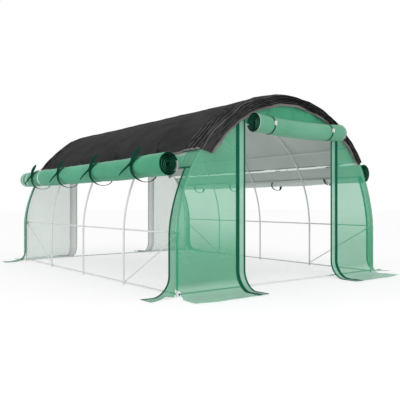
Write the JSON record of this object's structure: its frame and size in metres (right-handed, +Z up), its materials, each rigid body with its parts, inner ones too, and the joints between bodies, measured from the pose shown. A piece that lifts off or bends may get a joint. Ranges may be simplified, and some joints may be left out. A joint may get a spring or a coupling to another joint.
{
  "type": "polytunnel greenhouse",
  "caption": "Walk-in polytunnel: half-round steel hoops under green film, with end doors and side walls rolled up and a dark shade net over the roof.",
  "frame": {"origin": "on the ground under the middle of the tunnel", "axes": "+X to the right seen from the front door, +Y along the tunnel to the back door, +Z up"},
  "size_m": [3.7406, 4.8266, 2.0346],
  "materials": {
    "white_tube": "white powder coat on round steel tube, satin",
    "black_cap": "moulded black plastic, matte",
    "green_film": "green grid-reinforced polyethylene film, translucent, semi-gloss",
    "zip_film": "pale green film strip beside the door zips, with dark green bindings",
    "dark_tape": "dark green woven tape",
    "white_buckle": "moulded white plastic",
    "shade_net": "charcoal knitted shade net, matte"
  },
  "bodies": {
    "root": {"back_gable": "green_film", "base_rail_back": "white_tube", "base_rail_front": "white_tube", "base_rail_left": "white_tube", "base_rail_right": "white_tube", "braces_left": "white_tube", "braces_right": "white_tube", "corner_strip_back_left": "green_film", "corner_strip_back_right": "green_film", "corner_strip_front_left": "green_film", "corner_strip_front_right": "green_film", "door_buckles": "white_buckle", "door_roll_back": "green_film", "door_roll_front": "green_film", "door_ties_back": "dark_tape", "door_ties_front": "dark_tape", "door_zip_back_left": "zip_film", "door_zip_back_right": "zip_film", "door_zip_front_left": "zip_film", "door_zip_front_right": "zip_film", "end_panel_back_left": "green_film", "end_panel_back_right": "green_film", "end_panel_front_left": "green_film", "end_panel_front_right": "green_film", "foot_caps": "white_tube", "front_gable": "green_film", "hoop_back": "white_tube", "hoop_fourth": "white_tube", "hoop_front": "white_tube", "hoop_middle": "white_tube", "hoop_second": "white_tube", "mid_rail_left": "white_tube", "mid_rail_right": "white_tube", "purlin_left": "white_tube", "purlin_right": "white_tube", "rail_plugs": "black_cap", "ridge_purlin": "white_tube", "roof_cover": "green_film", "shade_net": "shade_net", "side_roll_left": "green_film", "side_roll_right": "green_film", "side_ties_left": "dark_tape", "side_ties_right": "dark_tape"}
  },
  "joints": []
}
